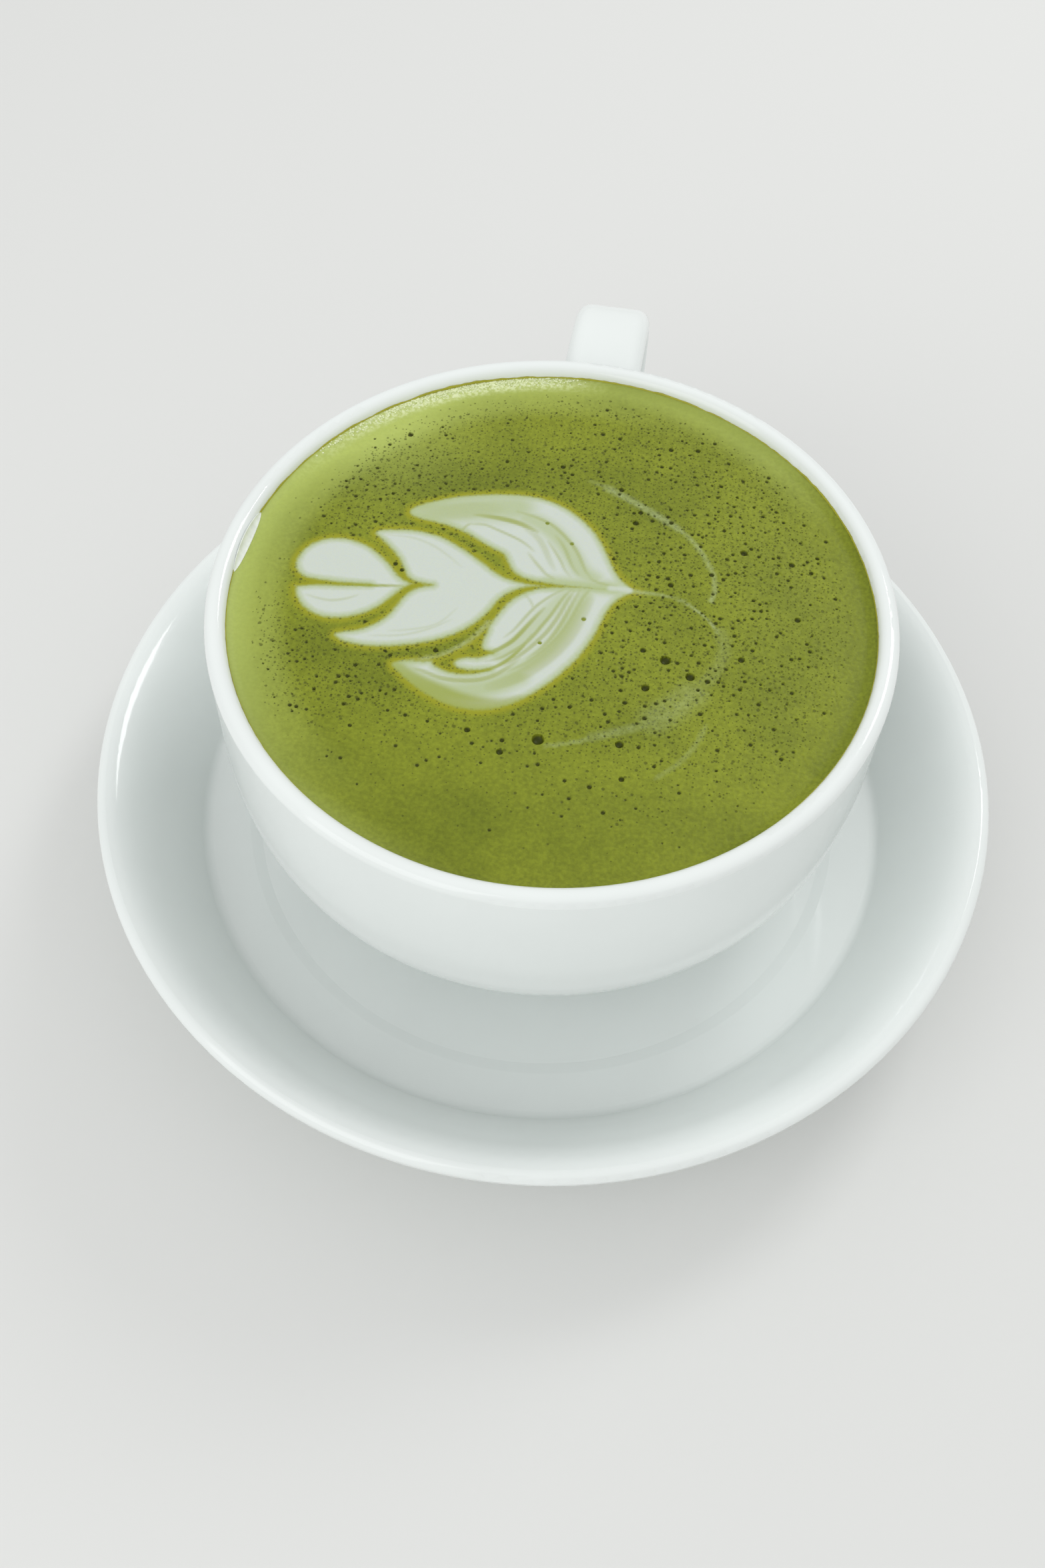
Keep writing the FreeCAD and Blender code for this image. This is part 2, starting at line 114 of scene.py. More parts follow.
# Each green fold or thread in the outer heart: half width in mm, strength, then its line from tip to stem.
GREEN_THREADS = [
    (0.42, 0.75, [(-15.6, 16.7), (-13.0, 16.7), (-10.2, 16.5), (-8.0, 16.1), (-6.4, 15.5), (-4.8, 14.8)]),
    (0.20, 0.50, [(-15.9, 14.5), (-13.6, 14.8), (-11.6, 14.2), (-9.4, 13.4), (-7.4, 12.6), (-5.8, 11.6),
                  (-4.6, 10.6)]),
    (0.26, 0.50, [(-8.8, 18.6), (-6.6, 18.2), (-4.6, 17.6), (-2.8, 16.8), (-1.0, 15.4), (0.4, 14.0),
                  (1.6, 12.6), (2.6, 11.0), (3.4, 9.4), (4.2, 7.9), (5.2, 6.8)]),
    (0.22, 0.45, [(-5.6, 10.2), (-4.4, 8.8), (-3.2, 7.5), (-2.0, 6.3), (-0.6, 5.6)]),
    (0.20, 0.45, [(-2.8, 13.2), (-1.9, 12.0), (-0.9, 10.6), (0.0, 9.2), (0.8, 7.7), (1.9, 6.5)]),
    (0.24, 0.40, [(-1.8, 14.6), (-0.6, 13.2), (0.4, 11.6), (1.2, 9.9), (2.1, 8.3), (3.2, 7.0)]),
    (0.45, 0.30, [(-7.0, 15.2), (-5.6, 14.4), (-4.2, 13.2), (-3.0, 11.4), (-2.0, 9.4), (-0.8, 7.4)]),
    (0.22, 0.35, [(4.8, 6.9), (6.0, 6.2), (7.6, 5.9), (9.4, 5.8)]),
    (0.20, 0.40, [(-16.8, 13.1), (-16.4, 14.0), (-15.7, 14.7)]),
    (1.60, 0.16, [(-23.5, 16.2), (-19.5, 16.6), (-16.0, 17.6), (-12.0, 18.6)]),
    (0.26, 0.85, [(-10.2, -14.9), (-8.2, -14.2), (-6.2, -12.8), (-4.6, -10.9), (-3.2, -8.4), (-2.2, -6.0)]),
    (0.34, 0.60, [(-19.4, -15.7), (-17.2, -16.1), (-14.6, -16.8), (-11.8, -16.8), (-9.0, -16.2),
                  (-6.8, -15.0), (-5.0, -13.2), (-3.4, -11.0)]),
    (0.32, 0.80, [(-9.4, -11.0), (-8.4, -10.8), (-7.4, -10.3), (-6.2, -9.2), (-5.0, -7.8), (-4.0, -6.0),
                  (-3.1, -4.2), (-2.2, -2.4), (-1.2, -0.6)]),
    (0.24, 0.60, [(-8.4, -12.6), (-6.4, -11.5), (-4.8, -10.0), (-3.2, -8.2), (-2.0, -6.2), (-1.0, -4.0),
                  (0.0, -1.8), (0.8, 0.4), (1.6, 2.4), (2.4, 3.8)]),
    (0.22, 0.50, [(-6.4, -7.4), (-5.3, -5.9), (-4.4, -4.1), (-3.5, -2.2), (-2.5, -0.4), (-1.3, 1.2),
                  (0.0, 2.6), (1.2, 3.6)]),
    (0.30, 0.60, [(-7.2, -13.8), (-5.0, -12.1), (-3.2, -10.1), (-1.6, -7.8), (-0.2, -5.4), (0.8, -3.0),
                  (1.6, -0.6), (2.2, 1.6), (2.9, 3.6)]),
    (0.28, 0.50, [(-2.2, -10.8), (-0.4, -8.4), (0.9, -5.8), (1.9, -3.0), (2.6, -0.4), (3.2, 2.0),
                  (3.8, 4.0)]),
    (0.28, 0.45, [(-4.8, -13.8), (-2.2, -11.6), (0.0, -8.8), (1.8, -5.8), (3.0, -2.8), (3.8, 0.0),
                  (4.5, 2.6), (5.2, 4.2)]),
    (1.10, 0.38, [(-7.0, -17.2), (-3.6, -15.0), (-0.8, -12.0), (1.6, -8.6), (3.4, -5.0), (4.6, -1.2),
                  (5.6, 2.2)]),
    (2.30, 0.78, [(-23.4, -15.4), (-19.6, -18.4), (-15.0, -20.4), (-10.0, -21.6), (-5.0, -21.2),
                  (-1.0, -19.0)]),
    (0.16, 0.35, [(-4.6, 1.6), (-3.4, 0.2), (-2.6, -1.4)]),
    (0.20, 0.28, [(-38.6, -4.6), (-35.0, -5.1), (-32.4, -4.4), (-30.4, -3.2)]),
    (0.16, 0.22, [(-28.4, 9.8), (-24.6, 10.0), (-21.0, 9.0), (-18.0, 7.2), (-15.4, 5.2)]),
    (0.16, 0.22, [(-27.0, -10.8), (-22.0, -9.8), (-18.0, -7.8), (-15.0, -5.4)]),
    (0.16, 0.20, [(-24.4, -9.4), (-20.6, -8.4), (-17.0, -6.6), (-14.6, -3.0)]),
    (0.24, 0.85, [(-33.5, -1.45), (-31.0, -1.2), (-28.6, -0.95), (-26.4, -0.6), (-24.0, -0.2)]),
]
# Parts of the outer heart where the milk lies thin and the tea tints it: half width in mm, strength, line.
THIN_MILK = [
    (3.4, 0.75, [(-25.0, 15.6), (-21.0, 16.6), (-17.0, 17.8), (-13.0, 18.8), (-9.0, 19.4)]),
    (1.8, 0.70, [(-7.0, 17.6), (-4.0, 16.4), (-1.0, 14.0), (1.4, 11.0), (3.4, 8.0), (5.5, 6.6)]),
    (2.2, 0.8, [(-22.0, -16.0), (-17.0, -18.4), (-12.0, -18.9), (-7.0, -17.2), (-3.4, -14.4)]),
    (1.5, 0.7, [(-4.6, -14.6), (-1.4, -11.2), (1.0, -7.6), (2.6, -3.8), (3.8, 0.0), (4.8, 3.4)]),
    (1.6, 0.55, [(-6.0, -11.0), (-3.6, -7.6), (-1.8, -4.0), (-0.2, -0.8), (1.6, 2.4)]),
    (1.7, 0.75, [(-1.0, 4.6), (3.0, 4.9), (6.0, 5.2), (9.0, 5.4)]),
]
# Pale threads of milk lying on the green: half width in mm, strength, then the line.
MILK_THREADS = [
    (0.36, 0.60, [(-21.0, -14.9), (-18.6, -14.0), (-16.4, -13.0), (-14.4, -11.7), (-12.6, -10.0),
                  (-11.2, -8.4), (-10.0, -6.4), (-9.3, -4.8)]),
    (0.50, 0.75, [(8.5, 5.3), (10.0, 5.4), (11.4, 5.4)]),
    (0.44, 0.60, [(10.6, 5.4), (13.2, 5.4)]),
    (0.34, 0.60, [(12.6, 5.4), (14.8, 5.45)]),
    (0.26, 0.60, [(14.2, 5.4), (16.4, 5.5)]),
    (0.22, 0.58, [(15.8, 5.5), (18.8, 5.2), (20.4, 4.6),
                  (22.0, 3.6), (23.6, 2.4), (25.0, 1.0), (26.2, -0.6)]),
    (0.34, 0.24, [(2.0, 27.6), (5.0, 26.6), (8.0, 25.2)]),
    (0.60, 0.55, [(5.0, 26.6), (8.4, 25.0), (11.4, 23.4), (14.6, 21.6), (17.6, 19.8)]),
    (0.36, 0.52, [(16.6, 20.6), (19.4, 18.4), (21.6, 15.8), (23.2, 13.2), (24.4, 10.6), (24.8, 8.0),
                  (24.5, 5.6)]),
    (1.00, 0.17, [(26.6, -0.6), (27.4, -3.6), (26.8, -7.0), (25.2, -10.4), (23.0, -13.6), (20.4, -16.8),
                  (17.8, -19.4)]),
    (0.70, 0.30, [(24.4, -12.0), (22.4, -14.6), (20.0, -17.6), (16.8, -20.0), (13.2, -21.8), (9.6, -23.4)]),
    (0.30, 0.36, [(13.2, -22.2), (10.0, -23.6), (6.6, -25.0), (3.0, -26.2)]),
    (2.20, 0.26, [(23.4, -13.0), (21.0, -16.0), (18.4, -18.6)]),
    (0.36, 0.22, [(26.0, -18.6), (24.8, -22.4), (22.6, -26.0), (20.0, -28.8)]),
]
# The biggest burst bubbles, placed one by one: x, y and width across.
BIG_BUBBLES = [
    (18.7, -7.2, 1.7), (22.8, -9.7, 1.5), (16.3, -13.0, 1.3), (1.8, -25.2, 1.9), (13.8, -24.0, 1.3),
    (28.7, 16.5, 1.2), (38.2, 4.3, 1.0), (30.2, -5.1, 1.1), (25.5, -10.1, 0.9), (17.8, 7.8, 1.0),
    (13.6, -16.3, 0.8), (-29.5, 32.7, 1.0), (-3.4, -28.4, 1.1), (-3.4, -26.3, 0.8), (-8.8, -25.4, 1.0),
    (14.9, -30.0, 0.9), (10.5, -32.1, 0.8), (40.5, -1.6, 0.7), (37.8, -3.6, 0.7), (25.0, -16.3, 0.8),
    (19.0, 37.8, 0.9), (14.5, 37.2, 0.9), (2.6, 38.8, 0.8), (36.5, 15.4, 1.0), (35.2, 0.4, 0.6),
    (15.1, -5.9, 1.0), (32.1, 6.4, 0.6), (39.7, 14.3, 0.8), (31.3, 33.8, 0.7), (-12.3, 29.5, 0.7),
    (-2.9, 30.0, 0.9), (7.5, 26.6, 0.9), (10.7, 19.8, 1.1), (24.0, 11.0, 0.9), (20.7, 10.4, 0.8),
    (-3.5, 17.0, 0.7), (1.1, 13.4, 0.7), (11.6, -20.2, 0.7), (16.9, -18.6, 0.8), (14.2, 9.2, 0.7),
    (15.6, 9.1, 0.7), (17.2, 9.1, 0.8), (21.4, 8.2, 0.6), (26.2, 2.4, 0.7), (-14.2, 9.1, 0.7),
    (-26.0, 4.2, 0.8), (-24.7, 3.1, 0.8), (-36.0, 14.4, 0.6), (-31.1, 12.4, 0.7), (-16.3, -11.7, 0.9),
    (5.2, -1.6, 0.8), (-0.8, -7.4, 0.7), (11.2, 22.2, 0.9), (13.3, 20.8, 0.8), (16.4, 20.9, 0.8),
    (20.6, -7.4, 0.7), (23.8, -6.8, 0.7), (28.6, -2.6, 0.6), (20.7, -18.2, 0.6), (5.6, 38.2, 0.7),
]

# Where the small burst bubbles crowd: how strongly, the middle of the patch, and its reach in x and y.
BUBBLE_PATCHES = [
    (1.00, (-24, 19), (18, 9)), (0.75, (-26, -17), (17, 7)), (1.00, (17, 4), (13, 24)),
    (0.55, (14, 30), (26, 13)), (0.35, (34, 6), (12, 26)), (0.16, (0, -31), (30, 9)),
]
# Where the foam is darker, in the same form.
DEEP_PATCHES = [(1.0, (-20, 23), (17, 7)), (0.8, (-33, -14), (9, 6)), (0.5, (-2, -43), (24, 6))]
# The mesh is halved round the bubbles in three passes: how far past a bubble's rim, from what radius of
# bubble, and down to what area of face in square mm.
BUBBLE_PASSES = [(0.34, 0.0, 0.012), (0.12, 0.0, 0.012), (0.06, 0.42, 0.006)]
# What the foam's mesh tells its material at each vertex.
FOAM_FIELDS = (
    "milk_depth", "green_thread", "milk_thread", "milk_thread_thick", "thin_milk", "pit",
    "pale_band_and_reflection", "deep", "froth", "wet",
)


# ---------------------------------------------------------------- small helpers


def linear(hex_colour):
    """An sRGB hex colour as the linear RGBA that a shader socket takes."""
    channels = [int(hex_colour[i : i + 2], 16) / 255 for i in (1, 3, 5)]
    return tuple(c / 12.92 if c <= 0.04045 else ((c + 0.055) / 1.055) ** 2.4 for c in channels) + (1.0,)


def put(tree, kind, inputs=None, **settings):
    """Adds one node, sets its properties, and fills or links its inputs."""
    node = tree.nodes.new(kind)
    for name, value in settings.items():
        setattr(node, name, value)
    for name, value in (inputs or {}).items():
        if isinstance(value, bpy.types.NodeSocket):
            tree.links.new(value, node.inputs[name])
        else:
            node.inputs[name].default_value = value
    return node


def start_material(name):
    """A new material with only its shader and output, which are returned with its node tree."""
    material = bpy.data.materials.new(name)
    material.use_nodes = True
    tree = material.node_tree
    tree.nodes.clear()
    shader = put(tree, "ShaderNodeBsdfPrincipled")
    put(tree, "ShaderNodeOutputMaterial", {"Surface": shader.outputs[0]})
    return material, tree, shader


def smooth_line(points, closed=False, steps=6):
    """Points of a Catmull-Rom curve through given points."""
    p = np.array(points, float)
    before = np.roll(p, 1, 0)
    after = np.roll(p, -1, 0)
    beyond = np.roll(p, -2, 0)
    if not closed:
        before[0] = p[0]
        after[-1] = p[-1]
        beyond[-2:] = p[-1]
    t = np.arange(steps)[:, None, None] / steps
    curve = 0.5 * (
        2 * p + (after - before) * t + (2 * before - 5 * p + 4 * after - beyond) * t**2
        + (3 * p - before - 3 * after + beyond) * t**3
    )
    curve = curve.transpose(1, 0, 2).reshape(-1, 2)
    return curve if closed else np.vstack([curve[:-steps], p[-1:]])


def heart_outlines():
    """The smooth outlines of the poured hearts."""
    return [smooth_line(o, closed=True) for o in (SMALL_HEART, MIDDLE_HEART, OUTER_UPPER, OUTER_LOWER)]


def distance_to_line(xy, line):
    """Distance of each point to an open run of short segments, in the same unit."""
    best = np.full(len(xy), 1e9)
    for a, b in zip(line[:-1], line[1:]):
        d = b - a
        t = np.clip(((xy - a) @ d) / max(d @ d, 1e-12), 0, 1)
        best = np.minimum(best, ((xy - a - t[:, None] * d) ** 2).sum(1))
    return np.sqrt(best)


def thread(xy, line, half):
    """How strongly a drawn-out thread shows at each point, from 0 to 1. It thins and fades at both ends."""
    amount = np.zeros(len(xy))
    count = len(line) - 1
    for i, (a, b) in enumerate(zip(line[:-1], line[1:])):
        d = b - a
        t = np.clip(((xy - a) @ d) / max(d @ d, 1e-12), 0, 1)
        away = np.sqrt(((xy - a - t[:, None] * d) ** 2).sum(1))
        taper = np.sin(math.pi * np.clip((i + t) / count, 0.02, 0.98)) ** 0.5
        reach = half * (0.45 + 0.55 * taper)
        soft = 0.14 + 0.35 * reach
        amount = np.maximum(amount, taper**0.7 * (1 - ease(away, reach - soft / 2, reach + soft)))
    return amount


def depth_inside(xy, outline):
    """Distance of each point to a closed outline, above 0 inside and below 0 outside."""
    line = np.vstack([outline, outline[:1]])
    inside = np.zeros(len(xy), bool)
    for (ax, ay), (bx, by) in zip(line[:-1], line[1:]):
        if ay != by:
            crosses = (ay > xy[:, 1]) != (by > xy[:, 1])
            inside ^= crosses & (xy[:, 0] < (bx - ax) * (xy[:, 1] - ay) / (by - ay) + ax)
    return np.where(inside, 1, -1) * distance_to_line(xy, line)


def around_pour(xy, margin):
    """Which points lie in the box round the hearts, with this margin."""
    x, y = xy[:, 0], xy[:, 1]
    return (x < 15 + margin) & (x > -44 - margin) & (np.abs(y) < 25 + margin)


def ease(x, low, high):
    """0 below low, 1 above high, and a smooth step between."""
    t = np.clip((x - low) / (high - low), 0, 1)
    return t * t * (3 - 2 * t)


def patch(xy, middle, reach):
    """A soft oval patch: 1 at its middle, fading away over its reach in x and y."""
    return np.exp(-(((xy[:, 0] - middle[0]) / reach[0]) ** 2) - ((xy[:, 1] - middle[1]) / reach[1]) ** 2)


def wobble(xy, size, layer):
    """Smooth noise at each point, with features of about this size in millimetres."""
    return np.array([noise.noise(Vector((x / size, y / size, layer))) for x, y in xy])


def meniscus(r):
    """How far the drink has climbed towards the wall at this radius, in millimetres."""
    wall = DRINK_RADIUS / MM
    return MENISCUS_RISE / MM * ease(r, wall - MENISCUS_WIDTH / MM, wall) ** 1.5


def raw_places(mesh):
    """Vertex places as an array, in metres."""
    co = np.empty(len(mesh.vertices) * 3)
    mesh.vertices.foreach_get("co", co)
    return co.reshape(-1, 3)


def places(mesh):
    """Vertex places as an array, in millimetres."""
    return raw_places(mesh) / MM


def set_places(mesh, co):
    """Writes vertex places given in millimetres."""
    mesh.vertices.foreach_set("co", (co * MM).ravel())
    mesh.update()


def write_field(mesh, name, values):
    """Stores one number a vertex for a material to read."""
    field = mesh.attributes.new(name, "FLOAT", "POINT")
    field.data.foreach_set("value", np.asarray(values, np.float32))


def begin(name):
    """Names the object that a primitive has just made, and returns it."""
    piece = bpy.context.object
    piece.name = name
    piece.data.name = name
    return piece


def face_middles(mesh):
    """Middle of each face, seen from above, in millimetres."""
    middles = np.empty(len(mesh.polygons) * 3)
    mesh.polygons.foreach_get("center", middles)
    return middles.reshape(-1, 3)[:, :2] / MM


def split_faces(piece, mask):
    """Halves the spacing of the mesh in exactly these faces."""
    mesh = piece.data
    mesh.vertices.foreach_set("select", np.zeros(len(mesh.vertices), bool))
    mesh.edges.foreach_set("select", np.zeros(len(mesh.edges), bool))
    mesh.polygons.foreach_set("select", mask)
    bpy.context.tool_settings.mesh_select_mode = (False, False, True)
    bpy.ops.object.mode_set(mode="EDIT")
    bpy.ops.mesh.subdivide(number_cuts=1)
    bpy.ops.object.mode_set(mode="OBJECT")


def thicken(piece, thickness, offset, merge=False):
    """Gives a sheet its thickness, and turns its faces outwards."""
    solid = piece.modifiers.new("thickness", "SOLIDIFY")
    solid.thickness = thickness
    solid.offset = offset
    bpy.ops.object.modifier_apply(modifier=solid.name)
    bpy.ops.object.mode_set(mode="EDIT")
    bpy.ops.mesh.select_all(action="SELECT")
    if merge:
        bpy.ops.mesh.remove_doubles(threshold=0.004 * MM)
    bpy.ops.mesh.normals_make_consistent(inside=False)
    bpy.ops.object.mode_set(mode="OBJECT")


def settle(piece):
    """Makes a finished piece part of the model."""
    bpy.ops.object.transform_apply(location=True, rotation=True, scale=True)
    bpy.ops.object.shade_smooth()
    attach(piece, "root")


# ---------------------------------------------------------------- sizes and colours


class LATTE_PG_sizes(bpy.types.PropertyGroup):
    """Sizes of what is finished over the CAD model."""

    foam_spacing: bpy.props.FloatProperty(
        name="Foam mesh spacing", description="Distance between the foam's vertices before it is refined",
        default=0.50 * MM, unit="LENGTH",
    )
    foam_relief: bpy.props.FloatProperty(
        name="Foam relief", description="Height of the foam's slow rise and fall",
        default=0.10 * MM, unit="LENGTH",
    )
    milk_rise: bpy.props.FloatProperty(
        name="Milk rise", description="How far the poured milk stands above the green foam",
        default=0.09 * MM, unit="LENGTH",
    )
    small_bubbles: bpy.props.IntProperty(
        name="Small bubbles", description="Burst bubbles scattered round the pour as real pits", default=720,
    )
    film_height: bpy.props.FloatProperty(
        name="Film height", description="Height of the tea film left on the wall above the foam",
        default=0.55 * MM, unit="LENGTH",
    )
    wet_bubbles: bpy.props.IntProperty(
        name="Wet bubbles", description="Round wet bubbles along the far left edge of the foam", default=700,
    )
    key_power: bpy.props.FloatProperty(
        name="Key light", description="Power of the soft key light", default=1.25, unit="POWER",
    )
    room_light: bpy.props.FloatProperty(
        name="Room light", description="Strength of the even light all round", default=0.86,
    )


def colour_property(name, description, hex_colour):
    """A colour that a user may change."""
    return bpy.props.FloatVectorProperty(
        name=name, description=description, subtype="COLOR", size=4, min=0, max=1, default=linear(hex_colour)
    )


class LATTE_PG_colours(bpy.types.PropertyGroup):
    """Colours of the finishes."""

    glaze: colour_property("Glaze", "White glaze of the cup and saucer", "#e4e9e7")
    bisque: colour_property("Bisque", "Unglazed clay of the foot rings", "#d3cfc6")
    foam: colour_property("Foam", "Matcha foam over most of the cup", "#808a22")
    # A darker green, used in patches and in a ring along the right wall.
    foam_deep: colour_property("Deep foam", "Darker, more settled foam", "#6b761a")
    # Partly painted light: smooth foam pushed to the wall, lightened further for light reflected from the
    # wall.
    pale_foam_and_reflection: colour_property("Light foam", "Smooth pale foam pushed to the wall", "#aebc62")
    olive: colour_property("Olive rim", "Stained line where milk meets tea foam", "#93951f")
    # Partly painted shade: darker than the tea alone, for the shade inside a burst bubble's hollow.
    bubble: colour_property("Bubble hollow", "Dark tea seen inside a burst bubble", "#3f450a")
    milk: colour_property("Milk foam", "Thick white of the poured hearts", "#c6cec4")
    milk_thin: colour_property("Thin milk", "Milk foam tinted by the tea", "#a9b784")
    thread: colour_property("Green thread", "Tea drawn out in threads through the milk", "#939e3c")
    # Painted highlight: the near-white stands in for glints on the wet foam at the wall and on its wet
    # bubbles.
    painted_wet_glint: colour_property("Wet foam", "Pale wet bubbles at the wall", "#dce4b6")
    # A bright white for the leaf-shaped sheet on the left wall at the foam's edge, lighter than the poured
    # milk.
    bright_leaf_white: colour_property("Wall milk", "Milk foam clinging to the wall", "#e6ebe3")
    film: colour_property("Tea film", "Tea dried on the wall at the edge", "#a5a436")
    floor: colour_property("Floor", "Plain pale floor", "#d9dad8")


# ---------------------------------------------------------------- materials


def glazed_porcelain(name, foot_level):
    """Porcelain, slip cast, glazed and fired: a hard clear gloss over cool white, with a faint slow ripple
    in the glaze. The foot ring is wiped bare before firing, so it is matt and a little warmer."""
    colours = bpy.context.scene.latte_colours
    material, tree, shader = start_material(name)
    place = put(tree, "ShaderNodeTexCoord").outputs["Object"]
    height = put(tree, "ShaderNodeSeparateXYZ", {0: place}).outputs["Z"]
    # fired clay's grit is about 0.1 mm, and is drawn at 0.35 mm so that it shows
    noises = {}
    for use, size, detail in (("wander", 3, 3), ("cloud", 22, 2), ("grit", 0.35, 4), ("ripple", 7, 1)):
        noises[use] = put(
            tree, "ShaderNodeTexNoise", {"Vector": place, "Scale": 1 / (size * MM), "Detail": float(detail)}
        ).outputs[0]
    # the glaze line wanders by half a millimetre
    edge = put(
        tree, "ShaderNodeMath", {0: noises["wander"], 1: 0.5 * MM, 2: height}, operation="MULTIPLY_ADD"
    ).outputs[0]
    glazed = put(
        tree, "ShaderNodeMapRange",
        {"Value": edge, "From Min": foot_level + 0.75 * MM, "From Max": foot_level + 0.95 * MM},
        interpolation_type="SMOOTHSTEP",
    ).outputs[0]
    finishes = []
    for base, pattern, low, high in (
        (colours.bisque, noises["grit"], 0.86, 1.1), (colours.glaze, noises["cloud"], 0.965, 1.035),
    ):
        shade = put(tree, "ShaderNodeMapRange", {"Value": pattern, "To Min": low, "To Max": high}).outputs[0]
        finish = put(
            tree, "ShaderNodeMix", {0: 1.0, 6: tuple(base), 7: shade},
            data_type="RGBA", blend_type="MULTIPLY",
        )
        finishes.append(finish.outputs[2])
    colour = put(tree, "ShaderNodeMix", {0: glazed, 6: finishes[0], 7: finishes[1]}, data_type="RGBA")
    tree.links.new(colour.outputs[2], shader.inputs["Base Color"])
    # glaze pools a touch unevenly, which breaks the edge of a reflection
    sheen = put(
        tree, "ShaderNodeMapRange", {"Value": noises["cloud"], "To Min": 0.06, "To Max": 0.13}
    ).outputs[0]
    rough = put(tree, "ShaderNodeMix", {0: glazed, 2: 0.62, 3: sheen}).outputs[0]
    tree.links.new(rough, shader.inputs["Roughness"])
    slow = put(
        tree, "ShaderNodeBump", {"Height": noises["ripple"], "Strength": 0.35, "Distance": 0.06 * MM}
    ).outputs[0]
    bare = put(tree, "ShaderNodeMath", {0: 1.0, 1: glazed}, operation="SUBTRACT").outputs[0]
    sand = put(tree, "ShaderNodeMath", {0: noises["grit"], 1: bare}, operation="MULTIPLY").outputs[0]
    bump = put(
        tree, "ShaderNodeBump", {"Height": sand, "Strength": 0.5, "Distance": 0.1 * MM, "Normal": slow}
    ).outputs[0]
    tree.links.new(bump, shader.inputs["Normal"])
    shader.inputs["IOR"].default_value = 1.5
    return material


def bubble_layer(tree, place, crowd, width, share):
    """Round burst bubbles about width across at most: 1 inside a bubble and 0 outside. crowd, from 0 to 1,
    says how many of the cells hold one."""
    cell = 2.1 * width
    cells = put(
        tree, "ShaderNodeTexVoronoi", {"Vector": place, "Scale": 1 / cell, "Randomness": 0.85},
        voronoi_dimensions="2D",
    )
    chance = put(tree, "ShaderNodeSeparateColor", {0: cells.outputs["Color"]})
    limit = put(tree, "ShaderNodeMath", {0: crowd, 1: share}, operation="MULTIPLY").outputs[0]
    there = put(tree, "ShaderNodeMath", {0: chance.outputs[0], 1: limit}, operation="LESS_THAN").outputs[0]
    reach = put(
        tree, "ShaderNodeMapRange", {"Value": chance.outputs[1], "To Min": 0.1, "To Max": 0.22}
    ).outputs[0]
    edge = put(
        tree, "ShaderNodeMath", {0: reach, 1: cells.outputs["Distance"]}, operation="SUBTRACT"
    ).outputs[0]
    spot = put(
        tree, "ShaderNodeMapRange", {"Value": edge, "From Min": -0.03, "From Max": 0.09},
        interpolation_type="SMOOTHSTEP",
    ).outputs[0]
    return put(tree, "ShaderNodeMath", {0: spot, 1: there}, operation="MULTIPLY").outputs[0]


def green_foam(tree, fields, cloud, fine):
    """Colour of the matcha foam without its bubbles, and how coarse its froth is."""
    colours = bpy.context.scene.latte_colours
    deep = put(tree, "ShaderNodeMapRange", {"Value": cloud, "From Min": 0.4, "From Max": 0.75}).outputs[0]
    deep = put(tree, "ShaderNodeMath", {0: deep, 1: fields["deep"]}, operation="MAXIMUM").outputs[0]
    green = tuple(colours.foam)
    # the pale band is partly smooth foam and partly painted reflected light
    for amount, over in ((deep, colours.foam_deep), (fields["pale_band_and_reflection"], colours.pale_foam_and_reflection)):
        green = put(
            tree, "ShaderNodeMix", {0: amount, 6: green, 7: tuple(over)}, data_type="RGBA"
        ).outputs[2]
    # the froth mottles the foam, but hardly where it is smooth and pale
    mottle = put(
        tree, "ShaderNodeMapRange",
        {"Value": fine, "From Min": 0.32, "From Max": 0.68, "To Min": 0.8, "To Max": 1.17},
    ).outputs[0]
    coarse = put(
        tree, "ShaderNodeMapRange",
        {"Value": fields["pale_band_and_reflection"], "From Max": 0.6, "To Min": 0.85, "To Max": 0.22},
    ).outputs[0]
    green = put(
        tree, "ShaderNodeMix", {0: coarse, 6: green, 7: mottle}, data_type="RGBA", blend_type="MULTIPLY"
    ).outputs[2]
    return green, coarse


